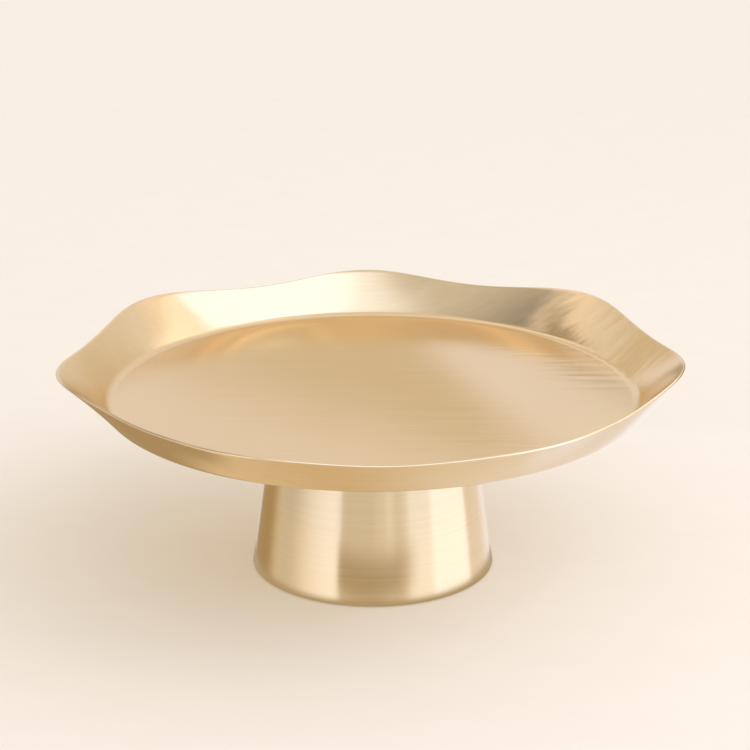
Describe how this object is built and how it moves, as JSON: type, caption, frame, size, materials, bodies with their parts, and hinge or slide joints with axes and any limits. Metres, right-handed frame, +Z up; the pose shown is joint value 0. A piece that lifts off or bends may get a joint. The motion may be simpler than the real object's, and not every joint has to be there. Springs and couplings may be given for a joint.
{
  "type": "cake stand",
  "caption": "Footed cake stand: a shallow round metal dish with a wavy flared rim, screwed to a tapered sheet-metal pedestal from below.",
  "frame": {"origin": "on the table, at the centre of the pedestal's foot", "axes": "+Z up along the pedestal's axis, +X to the viewer's right, +Y away from the viewer"},
  "size_m": [0.3037, 0.2939, 0.1083],
  "materials": {
    "gold_dish": "satin gold-toned plating over brushed steel, brushed in straight lines",
    "gold_pedestal": "satin gold-toned plating over brushed steel, brushed round the pedestal",
    "bare_steel": "mill-finish stainless sheet",
    "zinc_steel": "zinc-plated steel",
    "silicone": "translucent white silicone",
    "rubber": "matt black rubber"
  },
  "bodies": {
    "pedestal": {"pedestal_shell": "gold_pedestal", "pedestal_top": "bare_steel", "foot_flange": "bare_steel", "foot_ring": "rubber", "seat_ring": "silicone"},
    "dish": {"dish": "gold_dish", "stud_disc": "bare_steel", "threaded_stud": "zinc_steel"},
    "washers": {"plain_washer": "zinc_steel", "spring_washer": "zinc_steel"},
    "nut": {"wing_nut": "zinc_steel"}
  },
  "joints": [
    {"name": "dish_lift", "type": "slide", "parent": "pedestal", "child": "dish", "axis": [0, 0, 1], "range_m": [0, 0.04]},
    {"name": "washer_drop", "type": "slide", "parent": "pedestal", "child": "washers", "axis": [0, 0, -1], "range_m": [0, 0.012]},
    {"name": "nut_turn", "type": "hinge", "parent": "washers", "child": "nut", "pos_m": [0, 0, 0.0797], "axis": [0, 0, -1], "range_deg": [0, 4320]}
  ],
  "couplings": [
    {"joint": "washer_drop", "follows": "nut_turn", "m_per_rad": 0.00015915}
  ]
}
